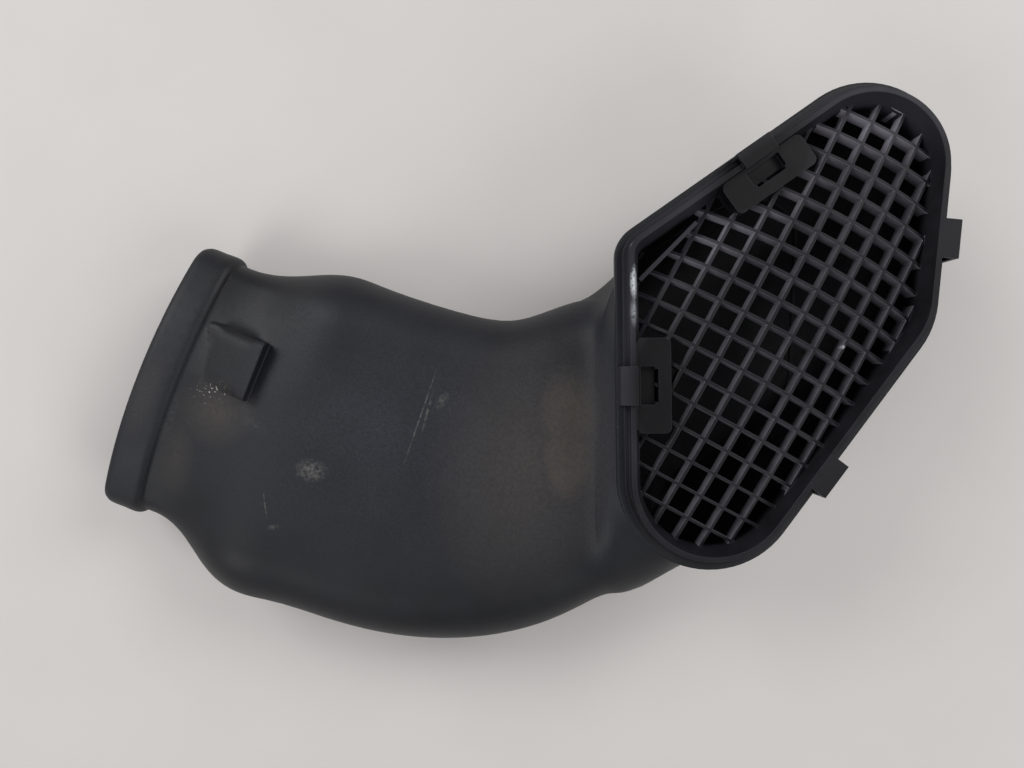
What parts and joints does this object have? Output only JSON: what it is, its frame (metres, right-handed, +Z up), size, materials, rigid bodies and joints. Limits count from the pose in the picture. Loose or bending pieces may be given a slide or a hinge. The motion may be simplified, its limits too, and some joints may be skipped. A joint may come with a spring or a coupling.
{
  "type": "air intake duct",
  "caption": "Blow-moulded car air intake duct: oval filter-box neck, flat trunk and an elbow up to a wide mouth closed by a crowned clip-in mesh grille.",
  "frame": {"origin": "on the surface the duct lies on, under the middle of its box", "axes": "+X along the neck and trunk from the neck's open end towards the elbow, +Z up out of the inlet mouth"},
  "size_m": [0.2982, 0.2964, 0.0915],
  "materials": {
    "blow_moulded_plastic": "black, fine moulded grain, scuffed and dusty",
    "grille_plastic": "black, smooth injection-moulded"
  },
  "bodies": {
    "root": {"duct_body": "blow_moulded_plastic", "intake_grille": "grille_plastic"}
  },
  "joints": []
}
